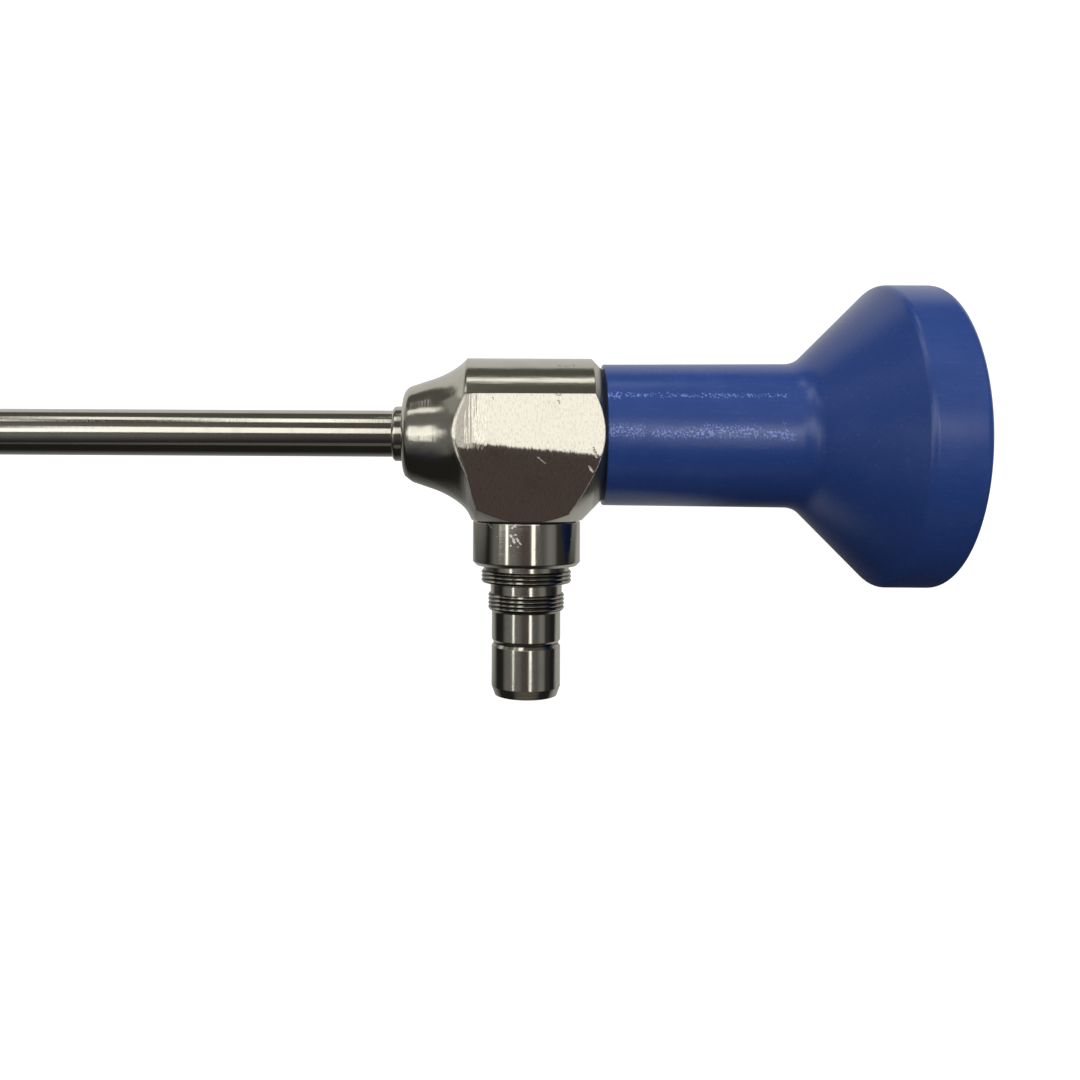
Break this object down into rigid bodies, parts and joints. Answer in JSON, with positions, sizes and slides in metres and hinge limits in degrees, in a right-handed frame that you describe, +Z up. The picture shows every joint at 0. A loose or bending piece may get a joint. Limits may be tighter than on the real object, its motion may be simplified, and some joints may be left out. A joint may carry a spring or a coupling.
{
  "type": "rigid endoscope",
  "caption": "Straight-viewing rigid endoscope with a slim steel insertion tube, a milled body with a light post and a blue dished eyepiece.",
  "frame": {"origin": "below the middle of the bounding box, on the surface that the endoscope lies on", "axes": "+X towards the eyepiece along the insertion tube, +Z up; the light post points to -Y and down"},
  "size_m": [0.3574, 0.0425, 0.0321],
  "materials": {
    "tube_steel": "fine ground, bright",
    "body_steel": "brushed satin",
    "post_steel": "turned, satin",
    "shell_plastic": "satin, fine turned grain",
    "seal_rubber": "matte",
    "black_metal": "matte black",
    "lens_glass": "polished, coated",
    "fibre_glass": "polished fibre ends"
  },
  "bodies": {
    "root": {"body_block": "body_steel", "distal_window": "lens_glass", "eyepiece_shell": "shell_plastic", "eyepiece_window": "lens_glass", "fibre_ferrule": "post_steel", "field_stop": "black_metal", "joint_seal": "seal_rubber", "light_fibres": "fibre_glass", "light_post": "post_steel", "objective_crown": "lens_glass", "objective_flint": "lens_glass", "objective_front_lens": "lens_glass", "objective_spacer": "black_metal", "ocular_crown": "lens_glass", "ocular_flint": "lens_glass", "ocular_o_ring": "seal_rubber", "ocular_retainer": "black_metal", "ocular_spacer": "black_metal", "ocular_tube": "post_steel", "optics_tube": "tube_steel", "post_collar": "post_steel", "post_seal": "seal_rubber", "relay_spacer_1": "black_metal", "relay_spacer_2": "black_metal", "relay_spacer_3": "black_metal", "relay_spacer_4": "black_metal", "relay_spacer_5": "black_metal", "relay_spacer_6": "black_metal", "relay_spacer_7": "black_metal", "rod_lens_1": "lens_glass", "rod_lens_2": "lens_glass", "rod_lens_3": "lens_glass", "rod_lens_4": "lens_glass", "rod_lens_5": "lens_glass", "rod_lens_6": "lens_glass", "sheath_tube": "tube_steel", "tube_collar": "tube_steel", "window_bezel": "black_metal"}
  },
  "joints": []
}
